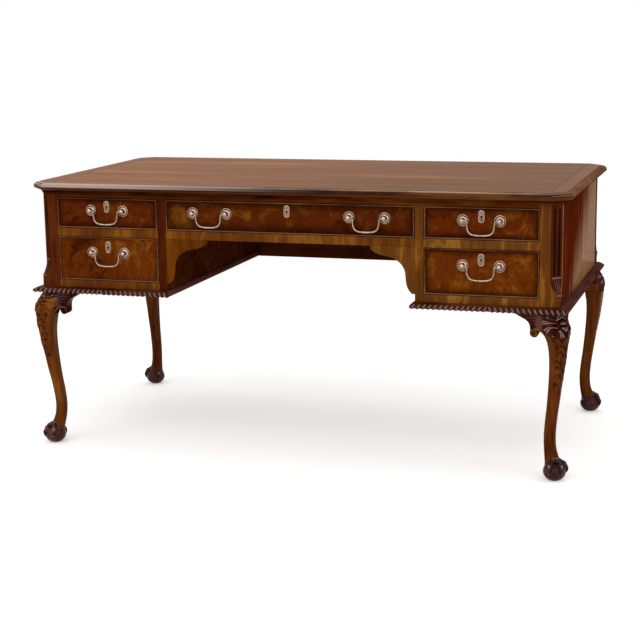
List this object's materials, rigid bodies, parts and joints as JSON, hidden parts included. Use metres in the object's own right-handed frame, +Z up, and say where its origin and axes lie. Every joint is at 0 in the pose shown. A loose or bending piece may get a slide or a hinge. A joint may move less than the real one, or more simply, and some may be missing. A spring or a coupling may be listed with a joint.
{
  "type": "kneehole desk",
  "caption": "Walnut kneehole writing desk with twin pedestals, sliding drawers, drop handles, gadrooned base moulding and carved cabriole legs on claw-and-ball feet",
  "frame": {"origin": "on the floor under the middle of the desk", "axes": "+X to the right along the width, the front faces -Y, +Z up"},
  "size_m": [1.556, 0.814, 0.775],
  "materials": {
    "walnut_case": "french polish",
    "walnut_field": "french polish",
    "walnut_burr": "french polish",
    "walnut_carved": "waxed",
    "walnut_moulding": "waxed",
    "lining_wood": "bare oak",
    "brass": "polished, slightly dull",
    "steel": "plain"
  },
  "bodies": {
    "desk": {"top_panel": "walnut_field", "top_field": "walnut_field", "top_edge_moulding": "walnut_moulding", "top_cove_moulding": "walnut_moulding", "front_corner_posts": "walnut_case", "back_corner_posts": "walnut_case", "front_left_leg": "walnut_carved", "front_right_leg": "walnut_carved", "back_left_leg": "walnut_carved", "back_right_leg": "walnut_carved", "knee_brackets": "walnut_carved", "end_panels": "walnut_case", "kneehole_panels": "walnut_case", "pedestal_backs": "walnut_case", "modesty_panel": "walnut_case", "inner_stiles": "walnut_case", "front_rails": "walnut_case", "dust_boards": "lining_wood", "drawer_guides": "lining_wood", "drawer_stops": "lining_wood", "left_gadroon_moulding": "walnut_moulding", "right_gadroon_moulding": "walnut_moulding", "plain_base_mouldings": "walnut_moulding", "kneehole_spandrels": "walnut_case"},
    "left_upper_drawer": {"left_upper_drawer_front": "walnut_burr", "left_upper_drawer_walls": "lining_wood", "left_upper_drawer_bottom": "lining_wood", "left_upper_drawer_lock": "brass", "left_upper_drawer_handle_posts": "brass"},
    "left_upper_drawer_bolt": {"left_upper_drawer_bolt": "steel"},
    "left_upper_drawer_bail": {"left_upper_drawer_bail": "brass"},
    "left_lower_drawer": {"left_lower_drawer_front": "walnut_burr", "left_lower_drawer_walls": "lining_wood", "left_lower_drawer_bottom": "lining_wood", "left_lower_drawer_lock": "brass", "left_lower_drawer_handle_posts": "brass"},
    "left_lower_drawer_bolt": {"left_lower_drawer_bolt": "steel"},
    "left_lower_drawer_bail": {"left_lower_drawer_bail": "brass"},
    "centre_drawer": {"centre_drawer_front": "walnut_burr", "centre_drawer_walls": "lining_wood", "centre_drawer_bottom": "lining_wood", "centre_drawer_lock": "brass", "centre_drawer_handle_posts": "brass"},
    "centre_drawer_bolt": {"centre_drawer_bolt": "steel"},
    "centre_drawer_left_bail": {"centre_drawer_left_bail": "brass"},
    "centre_drawer_right_bail": {"centre_drawer_right_bail": "brass"},
    "right_upper_drawer": {"right_upper_drawer_front": "walnut_burr", "right_upper_drawer_walls": "lining_wood", "right_upper_drawer_bottom": "lining_wood", "right_upper_drawer_lock": "brass", "right_upper_drawer_handle_posts": "brass"},
    "right_upper_drawer_bolt": {"right_upper_drawer_bolt": "steel"},
    "right_upper_drawer_bail": {"right_upper_drawer_bail": "brass"},
    "right_lower_drawer": {"right_lower_drawer_front": "walnut_burr", "right_lower_drawer_walls": "lining_wood", "right_lower_drawer_bottom": "lining_wood", "right_lower_drawer_lock": "brass", "right_lower_drawer_handle_posts": "brass"},
    "right_lower_drawer_bolt": {"right_lower_drawer_bolt": "steel"},
    "right_lower_drawer_bail": {"right_lower_drawer_bail": "brass"}
  },
  "joints": [
    {"name": "left_upper_drawer_slide", "type": "slide", "parent": "desk", "child": "left_upper_drawer", "axis": [0, -1, 0], "range_m": [0, 0.4]},
    {"name": "left_upper_drawer_bolt_slide", "type": "slide", "parent": "left_upper_drawer", "child": "left_upper_drawer_bolt", "axis": [0, 0, 1], "range_m": [0, 0.007]},
    {"name": "left_upper_drawer_bail_hinge", "type": "hinge", "parent": "left_upper_drawer", "child": "left_upper_drawer_bail", "pos_m": [-0.53975, -0.3905, 0.6965], "axis": [-1, 0, 0], "range_deg": [0, 95]},
    {"name": "left_lower_drawer_slide", "type": "slide", "parent": "desk", "child": "left_lower_drawer", "axis": [0, -1, 0], "range_m": [0, 0.4]},
    {"name": "left_lower_drawer_bolt_slide", "type": "slide", "parent": "left_lower_drawer", "child": "left_lower_drawer_bolt", "axis": [0, 0, 1], "range_m": [0, 0.007]},
    {"name": "left_lower_drawer_bail_hinge", "type": "hinge", "parent": "left_lower_drawer", "child": "left_lower_drawer_bail", "pos_m": [-0.53975, -0.3905, 0.576], "axis": [-1, 0, 0], "range_deg": [0, 95]},
    {"name": "centre_drawer_slide", "type": "slide", "parent": "desk", "child": "centre_drawer", "axis": [0, -1, 0], "range_m": [0, 0.4]},
    {"name": "centre_drawer_bolt_slide", "type": "slide", "parent": "centre_drawer", "child": "centre_drawer_bolt", "axis": [0, 0, 1], "range_m": [0, 0.007]},
    {"name": "centre_drawer_left_bail_hinge", "type": "hinge", "parent": "centre_drawer", "child": "centre_drawer_left_bail", "pos_m": [-0.227, -0.3905, 0.6965], "axis": [-1, 0, 0], "range_deg": [0, 95]},
    {"name": "centre_drawer_right_bail_hinge", "type": "hinge", "parent": "centre_drawer", "child": "centre_drawer_right_bail", "pos_m": [0.227, -0.3905, 0.6965], "axis": [-1, 0, 0], "range_deg": [0, 95]},
    {"name": "right_upper_drawer_slide", "type": "slide", "parent": "desk", "child": "right_upper_drawer", "axis": [0, -1, 0], "range_m": [0, 0.4]},
    {"name": "right_upper_drawer_bolt_slide", "type": "slide", "parent": "right_upper_drawer", "child": "right_upper_drawer_bolt", "axis": [0, 0, 1], "range_m": [0, 0.007]},
    {"name": "right_upper_drawer_bail_hinge", "type": "hinge", "parent": "right_upper_drawer", "child": "right_upper_drawer_bail", "pos_m": [0.53975, -0.3905, 0.6965], "axis": [-1, 0, 0], "range_deg": [0, 95]},
    {"name": "right_lower_drawer_slide", "type": "slide", "parent": "desk", "child": "right_lower_drawer", "axis": [0, -1, 0], "range_m": [0, 0.4]},
    {"name": "right_lower_drawer_bolt_slide", "type": "slide", "parent": "right_lower_drawer", "child": "right_lower_drawer_bolt", "axis": [0, 0, 1], "range_m": [0, 0.007]},
    {"name": "right_lower_drawer_bail_hinge", "type": "hinge", "parent": "right_lower_drawer", "child": "right_lower_drawer_bail", "pos_m": [0.53975, -0.3905, 0.576], "axis": [-1, 0, 0], "range_deg": [0, 95]}
  ]
}
